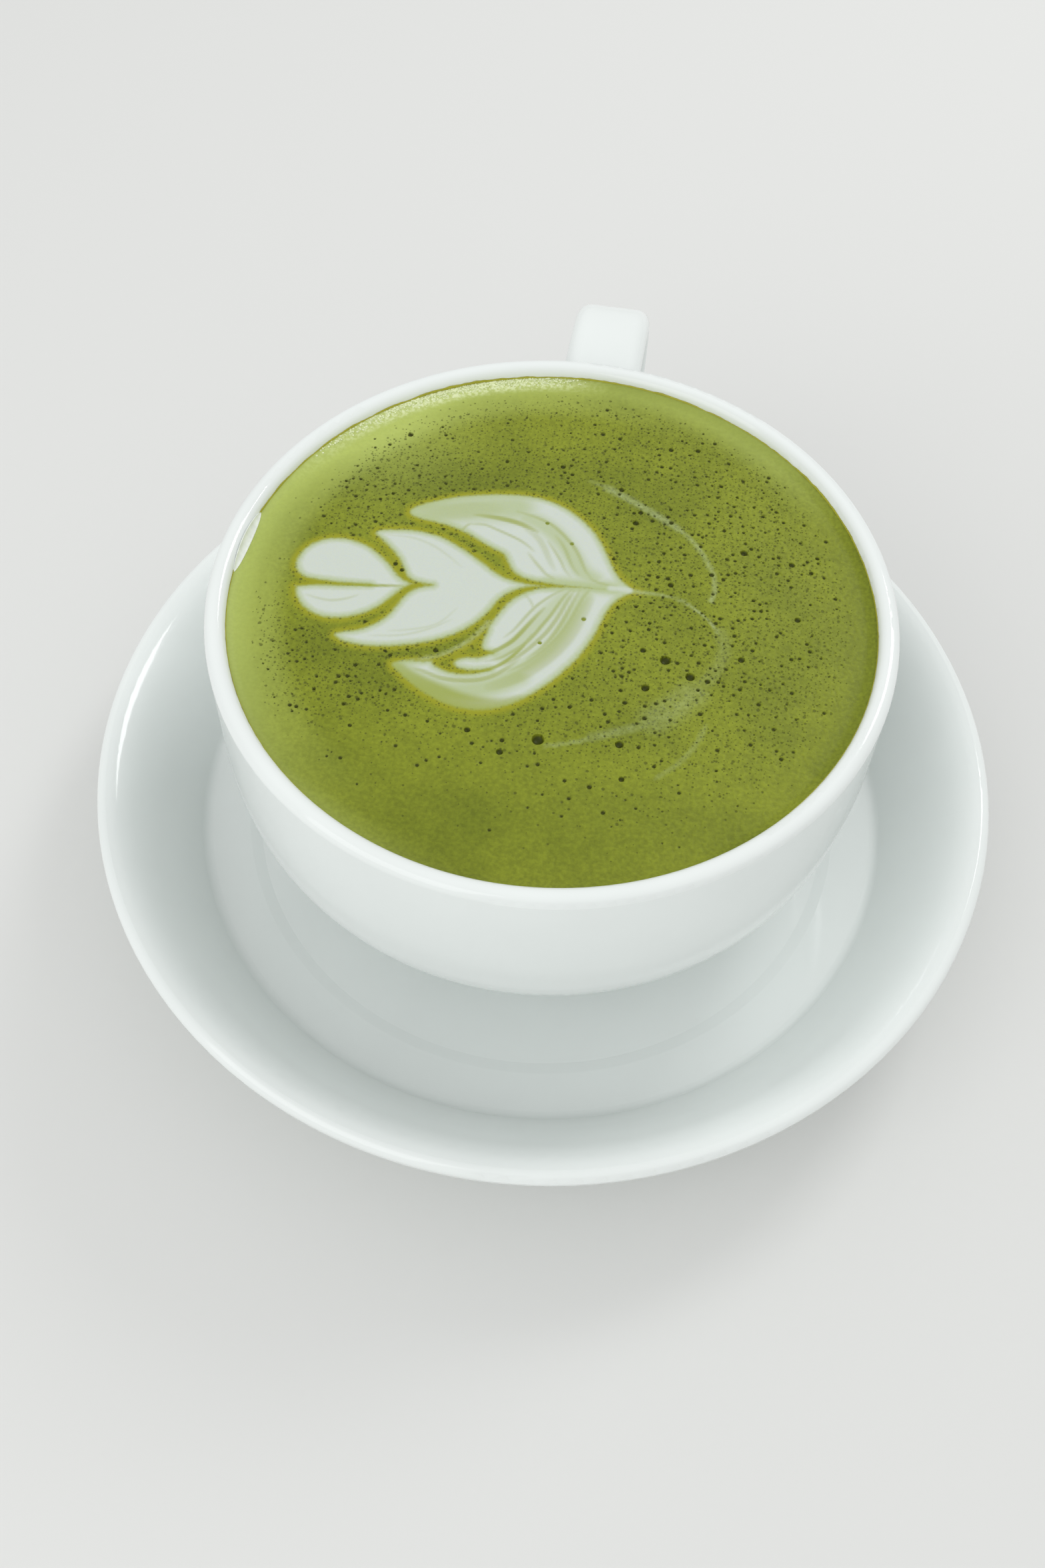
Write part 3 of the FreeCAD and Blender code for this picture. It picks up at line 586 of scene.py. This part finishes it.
def matcha_foam():
    """Steamed milk and whisked matcha, poured: a soft satin froth of closed bubbles too fine to see, with
    burst ones showing dark tea under painted shade, and thick white milk foam laid into it."""
    colours = bpy.context.scene.latte_colours
    material, tree, shader = start_material("matcha_and_milk_foam")
    place = put(tree, "ShaderNodeTexCoord").outputs["Object"]
    fields = {}
    for name in FOAM_FIELDS:
        fields[name] = put(tree, "ShaderNodeAttribute", attribute_name=name).outputs["Fac"]
    cloud = put(
        tree, "ShaderNodeTexNoise", {"Vector": place, "Scale": 1 / (16 * MM), "Detail": 3.0}
    ).outputs[0]
    # the closed micro bubbles are about 0.1 mm; their mottling is drawn at 0.55 mm so that it shows
    fine = put(
        tree, "ShaderNodeTexNoise", {"Vector": place, "Scale": 1 / (0.55 * MM), "Detail": 5.0}
    ).outputs[0]
    green, coarse = green_foam(tree, fields, cloud, fine)

    # the milk's edge is feathered by the same froth
    ragged = put(
        tree, "ShaderNodeMapRange",
        {"Value": fine, "From Min": 0.3, "From Max": 0.7, "To Min": -0.09, "To Max": 0.09},
    ).outputs[0]
    depth = put(tree, "ShaderNodeMath", {0: fields["milk_depth"], 1: ragged}, operation="ADD").outputs[0]
    milky = put(
        tree, "ShaderNodeMapRange", {"Value": depth, "From Min": -0.3, "From Max": 0.45},
        interpolation_type="SMOOTHSTEP",
    ).outputs[0]
    thick = put(tree, "ShaderNodeMapRange", {"Value": depth, "From Min": 0.1, "From Max": 1.3}).outputs[0]
    stain = put(
        tree, "ShaderNodeMapRange", {"Value": depth, "From Min": -1.5, "From Max": -0.2},
        interpolation_type="SMOOTHSTEP",
    ).outputs[0]

    bubbles = bubble_layer(tree, place, fields["froth"], 0.66 * MM, 0.5)
    for width, share in ((0.48 * MM, 0.65), (0.33 * MM, 0.7)):
        more = bubble_layer(tree, place, fields["froth"], width, share)
        bubbles = put(tree, "ShaderNodeMath", {0: bubbles, 1: more}, operation="MAXIMUM").outputs[0]
    # the drawn bubbles take the bubble colour: dark tea with painted shade
    hollow = put(tree, "ShaderNodeMath", {0: bubbles, 1: 0.62}, operation="MULTIPLY").outputs[0]
    # the milk threads are broken up by the froth, and the wet edge is painted near white as a stand-in for
    # its glints
    broken_thread_and_glint = {}
    for name, low, high, least, most in (
        ("milk_thread", 0.35, 0.65, 0.55, 1.1), ("wet", 0.42, 0.62, 0.25, 1.0),
    ):
        broken = put(
            tree, "ShaderNodeMapRange",
            {"Value": fine, "From Min": low, "From Max": high, "To Min": least, "To Max": most},
        ).outputs[0]
        broken_thread_and_glint[name] = put(
            tree, "ShaderNodeMath", {0: fields[name], 1: broken}, operation="MULTIPLY"
        ).outputs[0]

    # each layer lies over the ones before it, and has how much of it shows and its colour
    white = tuple(colours.milk_thin)
    for amount, over in (
        (thick, colours.milk),
        (fields["thin_milk"], colours.milk_thin),
        (fields["green_thread"], colours.thread),
    ):
        white = put(
            tree, "ShaderNodeMix", {0: amount, 6: white, 7: tuple(over)}, data_type="RGBA"
        ).outputs[2]
    # the pits' insides take the bubble colour: dark tea with painted shade
    in_pit = put(
        tree, "ShaderNodeMix", {0: milky, 6: tuple(colours.bubble), 7: tuple(colours.thread)},
        data_type="RGBA",
    ).outputs[2]
    colour = green
    for amount, over in (
        (stain, tuple(colours.olive)),
        (hollow, tuple(colours.bubble)),
        (milky, white),
        (broken_thread_and_glint["milk_thread"], tuple(colours.milk_thin)),
        (fields["milk_thread_thick"], tuple(colours.milk)),
        (fields["pit"], in_pit),
        (broken_thread_and_glint["wet"], tuple(colours.painted_wet_glint)),
    ):
        colour = put(tree, "ShaderNodeMix", {0: amount, 6: colour, 7: over}, data_type="RGBA").outputs[2]
    tree.links.new(colour, shader.inputs["Base Color"])

    rough = put(tree, "ShaderNodeMix", {0: fields["wet"], 2: 0.42, 3: 0.14}).outputs[0]
    tree.links.new(rough, shader.inputs["Roughness"])
    unmilked = put(tree, "ShaderNodeMath", {0: 1.0, 1: milky}, operation="SUBTRACT").outputs[0]
    dents = put(tree, "ShaderNodeMath", {0: bubbles, 1: unmilked}, operation="MULTIPLY").outputs[0]
    froth = put(tree, "ShaderNodeMath", {0: fine, 1: coarse}, operation="MULTIPLY").outputs[0]
    relief = put(tree, "ShaderNodeMath", {0: dents, 1: -1.0, 2: froth}, operation="MULTIPLY_ADD").outputs[0]
    bump = put(tree, "ShaderNodeBump", {"Height": relief, "Strength": 0.5, "Distance": 0.13 * MM}).outputs[0]
    tree.links.new(bump, shader.inputs["Normal"])
    shader.inputs["IOR"].default_value = 1.35
    shader.inputs["Specular IOR Level"].default_value = 0.35
    shader.inputs["Subsurface Weight"].default_value = 0.12
    shader.inputs["Subsurface Radius"].default_value = (1.2 * MM, 1.0 * MM, 0.4 * MM)
    shader.inputs["Subsurface Scale"].default_value = 1.0
    return material


def thin_glossy_layer(name, colour, roughness):
    """A thin wet layer: clear gloss over a slightly uneven colour. It gives the tea film its stain, the wet
    bubbles their painted highlight and the bright wall leaf its white.
    """
    material, tree, shader = start_material(name)
    place = put(tree, "ShaderNodeTexCoord").outputs["Object"]
    blot = put(
        tree, "ShaderNodeTexNoise", {"Vector": place, "Scale": 1 / (1.4 * MM), "Detail": 3.0}
    ).outputs[0]
    depth = put(tree, "ShaderNodeMapRange", {"Value": blot, "To Min": 0.8, "To Max": 1.2}).outputs[0]
    stain = put(
        tree, "ShaderNodeMix", {0: 1.0, 6: tuple(colour), 7: depth}, data_type="RGBA", blend_type="MULTIPLY"
    ).outputs[2]
    tree.links.new(stain, shader.inputs["Base Color"])
    bump = put(tree, "ShaderNodeBump", {"Height": blot, "Strength": 0.3, "Distance": 0.05 * MM}).outputs[0]
    tree.links.new(bump, shader.inputs["Normal"])
    shader.inputs["Roughness"].default_value = roughness
    shader.inputs["IOR"].default_value = 1.34
    return material


# ---------------------------------------------------------------- cup and saucer


class LATTE_OT_porcelain(bpy.types.Operator):
    """Glazes the cup and the saucer, and leaves their foot rings bare"""

    bl_idname = "latte.porcelain"
    bl_label = "Glaze the cup and saucer"

    def execute(self, context):
        for node, low in (("cup", CUP_LOW), ("saucer", SAUCER_LOW)):
            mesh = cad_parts[node].data
            mesh.materials.clear()
            mesh.materials.append(glazed_porcelain(f"glazed_porcelain_{node}", low.z))
        return {"FINISHED"}


# ---------------------------------------------------------------- the drink and its foam


def cup_wall_under_foam():
    """Radius of the drink's side at a few heights from the foam down, in mm, read from the CAD drink."""
    co = places(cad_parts["matcha_latte"].data)
    radius = np.hypot(co[:, 0], co[:, 1])
    wall = radius > 0.55 * DRINK_RADIUS / MM
    order = np.argsort(co[wall, 2])
    low, high = DRINK_LOW.z / MM, DRINK_HIGH.z / MM
    heights = low + (high - low) * np.array([0.93, 0.8, 0.65, 0.5, 0.35, 0.22, 0.1, 0.0])
    return [(float(np.interp(h, co[wall, 2][order], radius[wall][order])), float(h)) for h in heights]


def bubble_density(xy):
    """How crowded the burst bubbles are, from 0 to 1: a belt round the pour and the right side."""
    total = sum(strength * patch(xy, middle, reach) for strength, middle, reach in BUBBLE_PATCHES)
    r = np.hypot(xy[:, 0], xy[:, 1])
    return np.clip(total, 0, 1) * (1 - ease(r, 43.5, 48.5)) * calm_left(xy)


def calm_left(xy):
    """Low where the foam is smooth along the left wall, and 1 elsewhere."""
    return 1 - 0.85 * ease(-xy[:, 0] + 0.25 * xy[:, 1], 41, 45)


def scatter_bubbles(count, hearts):
    """Burst bubbles round the pour, thick near its edge and to the right, thin towards the near wall."""
    rng = random.Random(11)
    found = [(x, y, d / 2) for x, y, d in BIG_BUBBLES]
    most_tries = 40000
    for _ in range(most_tries):
        if len(found) >= count + len(BIG_BUBBLES):
            break
        r = 47 * math.sqrt(rng.random())
        a = rng.uniform(0, math.tau)
        x, y = r * math.cos(a), r * math.sin(a)
        size = 0.16 + 0.2 * rng.random() ** 1.4
        spot = np.array([[x, y]])
        if rng.random() > bubble_density(spot)[0]:
            continue
        if any((x - u) ** 2 + (y - v) ** 2 < (size + w + 0.25) ** 2 for u, v, w in found):
            continue
        if max(depth_inside(spot, heart)[0] for heart in hearts) > -size - 0.3:
            continue
        found.append((x, y, size))
    return found


def foam_disc(edge, spacing):
    """A square grid eased out onto the round of the cup, so its cells stay even and its edge is a circle."""
    cells = int(round(math.sqrt(math.pi) * edge / spacing))
    bpy.ops.object.select_all(action="DESELECT")
    bpy.ops.mesh.primitive_grid_add(x_subdivisions=cells, y_subdivisions=cells, size=2)
    piece = begin("latte_foam")
    u, v = raw_places(piece.data)[:, :2].T
    disc = np.stack([u * np.sqrt(1 - v * v / 2), v * np.sqrt(1 - u * u / 2), np.zeros(len(u))], 1)
    set_places(piece.data, disc * edge / MM)
    return piece


def refine_foam(piece, hearts, bubbles):
    """Halves the mesh in and round the hearts, and then step by step round each bubble."""
    mesh = piece.data
    middles = face_middles(mesh)
    near = np.zeros(len(middles), bool)
    zone = around_pour(middles, 0)
    near[zone] = np.max([depth_inside(middles[zone], heart) for heart in hearts], axis=0) > -0.7
    split_faces(piece, near)
    for reach, least, finest in BUBBLE_PASSES:
        middles = face_middles(mesh)
        touch = np.zeros(len(middles), bool)
        for x, y, radius in bubbles:
            if radius >= least:
                touch |= ((middles - (x, y)) ** 2).sum(1) < (radius + reach) ** 2
        areas = np.empty(len(mesh.polygons))
        mesh.polygons.foreach_get("area", areas)
        split_faces(piece, touch & (areas > finest * MM * MM))


def milk_fields(xy, hearts):
    """Where milk lies and how deep inside its edge, and where threads of green or milk are drawn out."""
    zone = around_pour(xy, 2)
    milk = np.full(len(xy), -3.0)
    milk[zone] = np.max([depth_inside(xy[zone], heart) for heart in hearts], axis=0)
    milk[zone] = np.minimum(milk[zone], -depth_inside(xy[zone], smooth_line(GREEN_FOLD, closed=True)))
    green_thread = np.zeros(len(xy))
    for half, strength, points in GREEN_THREADS:
        line = smooth_line(points)
        close = np.abs(xy - line.mean(0)).max(1) < 24
        green_thread[close] = np.maximum(green_thread[close], strength * thread(xy[close], line, half))
    thin_milk = np.zeros(len(xy))
    for half, strength, points in THIN_MILK:
        away = distance_to_line(xy[zone], smooth_line(points))
        amount = strength * (1 - ease(away, 0.2 * half, 1.5 * half))
        thin_milk[zone] = np.maximum(thin_milk[zone], amount)
    milk_thread = np.zeros(len(xy))
    milk_thread_thick = np.zeros(len(xy))
    for half, strength, points in MILK_THREADS:
        line = smooth_line(points)
        close = np.abs(xy - line.mean(0)).max(1) < 30
        away = distance_to_line(xy[close], line)
        soft = max(0.2, 0.7 * half)
        amount = strength * (1 - ease(away, half - soft, half + soft))
        # a strong thread is whole milk, and a weak one is thin and broken up by the froth
        if strength > 0.6:
            milk_thread_thick[close] = np.maximum(milk_thread_thick[close], amount)
        else:
            broken = 0.62 + 0.5 * wobble(xy[close], 1.3, 9.0)
            milk_thread[close] = np.maximum(milk_thread[close], amount * np.clip(broken + 0.3, 0, 1))
    return {
        "milk_depth": np.clip(milk, -3, 3), "green_thread": green_thread, "milk_thread": milk_thread,
        "milk_thread_thick": milk_thread_thick, "thin_milk": thin_milk,
    }


def bubble_pits(xy, bubbles):
    """How far each burst bubble sinks the foam, in mm, and where its dark inside shows."""
    sink = np.zeros(len(xy))
    pit = np.zeros(len(xy))
    for x, y, radius in bubbles:
        offset = xy - (x, y)
        away = np.hypot(offset[:, 0], offset[:, 1])
        local = away < radius + 0.35
        d = away[local] / radius
        bowl = np.sqrt(np.clip(1 - d * d, 0, 1)) * radius * 0.85
        lip = 0.03 * np.exp(-(((d - 1.12) / 0.12) ** 2))
        sink[local] = np.maximum(sink[local], bowl - lip * (d > 1))
        pit[local] = np.maximum(pit[local], 1 - ease(d, 0.72, 1.08))
    return sink, pit


def shade_fields(xy):
    """Where the foam is pale, partly with painted reflected light, deep, frothy, and wet, with painted
    glints on the wet edge. The angles are degrees round the cup from +X.
    """
    r = np.hypot(xy[:, 0], xy[:, 1])
    around = np.degrees(np.arctan2(xy[:, 1], xy[:, 0])) % 360
    side = ease(around, 55, 110) * (1 - ease(around, 190, 250))
    # painted reflected light: the pale band along the top and left wall is partly smooth foam and partly
    # light from the wall
    band = (0.45 * ease(r, 40.5, 45.5) + 0.5 * ease(r, 45, 50.5)) * side
    band = np.maximum(band, 0.6 * ease(r, 43, 50.5) * (1 - ease(np.abs(around - 80), 25, 55)))
    lower_left = ease(around, 190, 215) * (1 - ease(around, 235, 265))
    band = np.maximum(band, 0.35 * ease(r, 46, 50.5) * lower_left)
    # painted glow: a lighter patch at the upper left stands in for light reflected off the foam
    glow = 0.55 * patch(xy, (-36, 34), (13, 12))
    deep = sum(strength * patch(xy, middle, reach) for strength, middle, reach in DEEP_PATCHES)
    # darker in a ring along the wall on the right
    deep += 0.7 * ease(r, 44, 50.5) * (1 - ease((around + 30) % 360, 40, 75))
    froth = 0.6 * (1 - ease(-xy[:, 1], 22, 33)) * (1 - ease(r, 43.5, 48)) * calm_left(xy)
    return {
        "pale_band_and_reflection": np.clip(band + glow, 0, 1),
        "deep": np.clip(deep, 0, 1),
        "froth": np.clip(bubble_density(xy) + froth, 0, 1),
        # the wet band makes the foam glossier and also paints its glints near white
        "wet": ease(r, 47.6, 49.6) * ease(around, 86, 104) * (1 - ease(around, 122, 160)),
    }


def draw_down_the_wall(edge):
    """Draws the foam's edge down the cup's wall ring by ring, and closes it at the bottom."""
    bpy.ops.object.mode_set(mode="EDIT")
    bpy.context.tool_settings.mesh_select_mode = (False, True, False)
    bpy.ops.mesh.select_all(action="DESELECT")
    bpy.ops.mesh.select_non_manifold(extend=False)
    radius, level = edge / MM, DRINK_HIGH.z / MM
    for wall_radius, next_level in cup_wall_under_foam():
        next_radius = wall_radius - WALL_GAP / MM
        drop = (next_level - level) * MM
        bpy.ops.mesh.extrude_edges_move(TRANSFORM_OT_translate={"value": (0, 0, drop)})
        scale = next_radius / radius
        bpy.ops.transform.resize(value=(scale, scale, 1), center_override=(0, 0, 0))
        radius, level = next_radius, next_level
    bpy.ops.mesh.edge_face_add()
    bpy.ops.mesh.select_all(action="SELECT")
    bpy.ops.mesh.normals_make_consistent(inside=False)
    bpy.ops.object.mode_set(mode="OBJECT")


class LATTE_OT_drink(bpy.types.Operator):
    """Makes the matcha latte: foam with burst bubbles and poured hearts, and the drink below it"""

    bl_idname = "latte.drink"
    bl_label = "Pour the matcha latte"

    def execute(self, context):
        sizes = context.scene.latte_sizes
        edge = DRINK_RADIUS - WALL_GAP
        hearts = heart_outlines()
        bubbles = scatter_bubbles(sizes.small_bubbles, hearts)
        piece = foam_disc(edge, sizes.foam_spacing)
        refine_foam(piece, hearts, bubbles)

        mesh = piece.data
        co = places(mesh)
        xy = co[:, :2].copy()
        r = np.hypot(xy[:, 0], xy[:, 1])
        fields = milk_fields(xy, hearts)
        sink, fields["pit"] = bubble_pits(xy, bubbles)
        fields.update(shade_fields(xy))
        relief = (0.9 * wobble(xy, 13, 0.3) + 0.22 * wobble(xy, 2.2, 4.1)) * (1 - ease(r, 44, 49))
        height = FOAM_LEVEL / MM + meniscus(r) + sizes.foam_relief / MM * relief - sink
        milk = ease(fields["milk_depth"], -0.1, 0.8) * (1 - 0.5 * fields["green_thread"])
        co[:, 2] = height + sizes.milk_rise / MM * milk
        set_places(mesh, co)
        for name in FOAM_FIELDS:
            write_field(mesh, name, fields[name])

        draw_down_the_wall(edge)
        mesh.materials.append(matcha_foam())
        settle(piece)
        bpy.ops.object.shade_smooth_by_angle(angle=math.radians(60))
        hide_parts("matcha_latte")
        return {"FINISHED"}


# ---------------------------------------------------------------- what clings to the wall


class LATTE_OT_film(bpy.types.Operator):
    """Leaves a thin ragged film of tea on the cup's wall just above the foam"""

    bl_idname = "latte.film"
    bl_label = "Leave the tea film"

    def execute(self, context):
        bpy.ops.object.select_all(action="DESELECT")
        bpy.ops.mesh.primitive_cylinder_add(
            vertices=900, radius=DRINK_RADIUS - 0.02 * MM, depth=1, end_fill_type="NOTHING"
        )
        piece = begin("tea_film")
        co = places(piece.data)
        top = co[:, 2] > 0
        around = np.arctan2(co[:, 1], co[:, 0])
        circle = np.stack([np.cos(around), np.sin(around)], 1)
        # slow swells, short waves and fine rags, each a noise read round a circle
        wave = 0.55 * wobble(3 * circle, 1, 1.0) + 0.35 * wobble(17 * circle, 1, 5.0)
        wave += 0.2 * wobble(60 * circle, 1, 8.0)
        tall = context.scene.latte_sizes.film_height / MM * np.clip(0.75 + wave, 0.15, 1.6)
        co[:, 2] = np.where(top, DRINK_HIGH.z / MM - 0.1 + tall, DRINK_HIGH.z / MM - 0.35)
        set_places(piece.data, co)
        thicken(piece, 0.09 * MM, -1)
        piece.data.materials.append(thin_glossy_layer("dried_tea_film", context.scene.latte_colours.film, 0.25))
        settle(piece)
        return {"FINISHED"}


class LATTE_OT_wet_edge(bpy.types.Operator):
    """Lines the far left edge of the foam with small round wet bubbles"""

    bl_idname = "latte.wet_edge"
    bl_label = "Line the edge with wet bubbles"

    def execute(self, context):
        rng = random.Random(5)
        bpy.ops.object.select_all(action="DESELECT")
        bpy.ops.mesh.primitive_uv_sphere_add(segments=8, ring_count=5, radius=1)
        piece = begin("wet_bubbles")
        mesh = piece.data
        ball = raw_places(mesh)
        faces = [tuple(p.vertices) for p in mesh.polygons]
        points, joined = [], []
        for _ in range(context.scene.latte_sizes.wet_bubbles):
            angle = math.radians(rng.triangular(92, 152, 112))
            out = DRINK_RADIUS / MM - 0.15 - abs(rng.gauss(0, 0.55))
            size = rng.uniform(0.08, 0.24)
            level = FOAM_LEVEL / MM + meniscus(out)
            middle = np.array([out * math.cos(angle), out * math.sin(angle), level - 0.1 * size])
            start = len(points)
            points.extend(ball * size * np.array([1, 1, 0.75]) + middle)
            joined.extend(tuple(start + i for i in face) for face in faces)
        mesh.clear_geometry()
        mesh.from_pydata([tuple(p * MM) for p in points], [], joined)
        mesh.update()
        # painted highlight: the bubbles' near-white colour stands in for their glints
        mesh.materials.append(thin_glossy_layer("glinting_wet_bubbles", context.scene.latte_colours.painted_wet_glint, 0.05))
        settle(piece)
        return {"FINISHED"}


class LATTE_OT_bright_wall_leaf(bpy.types.Operator):
    """Lays a bright leaf-shaped sheet on the left wall at the foam's edge"""

    bl_idname = "latte.milk_patch"
    bl_label = "Lay the milk patch"

    def execute(self, context):
        bpy.ops.object.select_all(action="DESELECT")
        bpy.ops.mesh.primitive_grid_add(x_subdivisions=60, y_subdivisions=14, size=2)
        piece = begin("milk_patch")
        along, across = raw_places(piece.data)[:, :2].T
        wide = np.clip(1 - along**2, 0, 1) ** 0.62
        angle = np.radians(175.6 - 7.4 * along)
        # climb runs from 0 on the foam to 1 up the wall, and a smooth fillet fills the corner between them
        climb = (across + 1) / 2
        inner = DRINK_RADIUS / MM - 0.05 - 0.9 * wide * (1 - climb) ** 2
        level = FOAM_LEVEL / MM + meniscus(inner) + 0.04 + 1.3 * wide * climb**2
        set_places(piece.data, np.stack([inner * np.cos(angle), inner * np.sin(angle), level], 1))
        thicken(piece, 0.12 * MM, 0, merge=True)
        finish = thin_glossy_layer("bright_wall_leaf_finish", context.scene.latte_colours.bright_leaf_white, 0.3)
        piece.data.materials.append(finish)
        settle(piece)
        return {"FINISHED"}


# ---------------------------------------------------------------- stage


def soft_room(scene):
    """Even light all round, behind which the camera, gloss and glass see the floor's colour."""
    world = bpy.data.worlds.new("soft_room")
    scene.world = world
    world.use_nodes = True
    tree = world.node_tree
    tree.nodes.clear()
    rays = put(tree, "ShaderNodeLightPath").outputs
    clear = put(
        tree, "ShaderNodeMath", {0: rays["Is Glossy Ray"], 1: rays["Is Transmission Ray"]},
        operation="MAXIMUM",
    ).outputs[0]
    looking = put(
        tree, "ShaderNodeMath", {0: rays["Is Camera Ray"], 1: clear}, operation="MAXIMUM"
    ).outputs[0]
    room = put(tree, "ShaderNodeBackground", {0: (1, 1, 1, 1), 1: scene.latte_sizes.room_light})
    seen = put(tree, "ShaderNodeBackground", {0: tuple(scene.latte_colours.floor), 1: 1.0})
    both = put(tree, "ShaderNodeMixShader", {0: looking, 1: room.outputs[0], 2: seen.outputs[0]})
    put(tree, "ShaderNodeOutputWorld", {0: both.outputs[0]})


class LATTE_OT_stage(bpy.types.Operator):
    """Sets the pale floor, the soft light and the camera"""

    bl_idname = "latte.stage"
    bl_label = "Set the stage"

    def execute(self, context):
        scene = context.scene
        bpy.ops.object.select_all(action="DESELECT")
        bpy.ops.mesh.primitive_circle_add(
            vertices=128, radius=3, fill_type="NGON", location=(0, 0, SAUCER_LOW.z - 0.1 * MM)
        )
        floor = begin("floor")
        material, tree, shader = start_material("pale_floor")
        shader.inputs["Base Color"].default_value = tuple(scene.latte_colours.floor)
        shader.inputs["Roughness"].default_value = 0.9
        floor.data.materials.append(material)
        soft_room(scene)

        for name, place, size, share in (
            ("key", (0.30, 0.48, 0.60), 0.24, 1.0), ("front", (-0.36, -0.52, 0.46), 0.6, 1.2),
        ):
            bpy.ops.object.light_add(type="AREA", location=place)
            lamp = context.object
            lamp.name = name
            lamp.data.size = size
            lamp.data.energy = scene.latte_sizes.key_power * share
            aim = Vector((0, 0, 0.04)) - Vector(place)
            lamp.rotation_euler = aim.to_track_quat("-Z", "Y").to_euler()

        camera = bpy.data.objects.new("camera", bpy.data.cameras.new("camera"))
        scene.collection.objects.link(camera)
        camera.data.lens = CAMERA_LENS
        camera.data.sensor_width = 36
        turn = Matrix.Rotation(math.radians(CAMERA_TURN), 4, "Z")
        tilt = Matrix.Rotation(math.radians(CAMERA_TILT), 4, "X")
        roll = Matrix.Rotation(math.radians(CAMERA_ROLL), 4, "Z")
        camera.matrix_world = Matrix.Translation(CAMERA_PLACE) @ turn @ tilt @ roll
        scene.camera = camera
        scene.view_settings.view_transform = "Standard"
        return {"FINISHED"}


class LATTE_PT_panel(bpy.types.Panel):
    """Lists the latte's pieces, sizes and colours"""

    bl_idname = "LATTE_PT_panel"
    bl_label = "Matcha latte"
    bl_space_type = "VIEW_3D"
    bl_region_type = "UI"
    bl_category = "Latte"

    def draw(self, context):
        for operator in OPERATORS:
            self.layout.operator(operator.bl_idname)
        for group in (context.scene.latte_sizes, context.scene.latte_colours):
            for name in type(group).__annotations__:
                self.layout.prop(group, name)


OPERATORS = (
    LATTE_OT_stage,
    LATTE_OT_porcelain,
    LATTE_OT_drink,
    LATTE_OT_film,
    LATTE_OT_wet_edge,
    LATTE_OT_bright_wall_leaf,
)
CLASSES = (LATTE_PG_sizes, LATTE_PG_colours) + OPERATORS + (LATTE_PT_panel,)


def register():
    for cls in CLASSES:
        bpy.utils.register_class(cls)
    bpy.types.Scene.latte_sizes = bpy.props.PointerProperty(type=LATTE_PG_sizes)
    bpy.types.Scene.latte_colours = bpy.props.PointerProperty(type=LATTE_PG_colours)


def unregister():
    del bpy.types.Scene.latte_sizes
    del bpy.types.Scene.latte_colours
    for cls in reversed(CLASSES):
        bpy.utils.unregister_class(cls)


def main():
    register()
    bpy.ops.latte.stage()
    bpy.ops.latte.porcelain()
    bpy.ops.latte.drink()
    bpy.ops.latte.film()
    bpy.ops.latte.wet_edge()
    bpy.ops.latte.milk_patch()


if __name__ == "__main__":
    main()
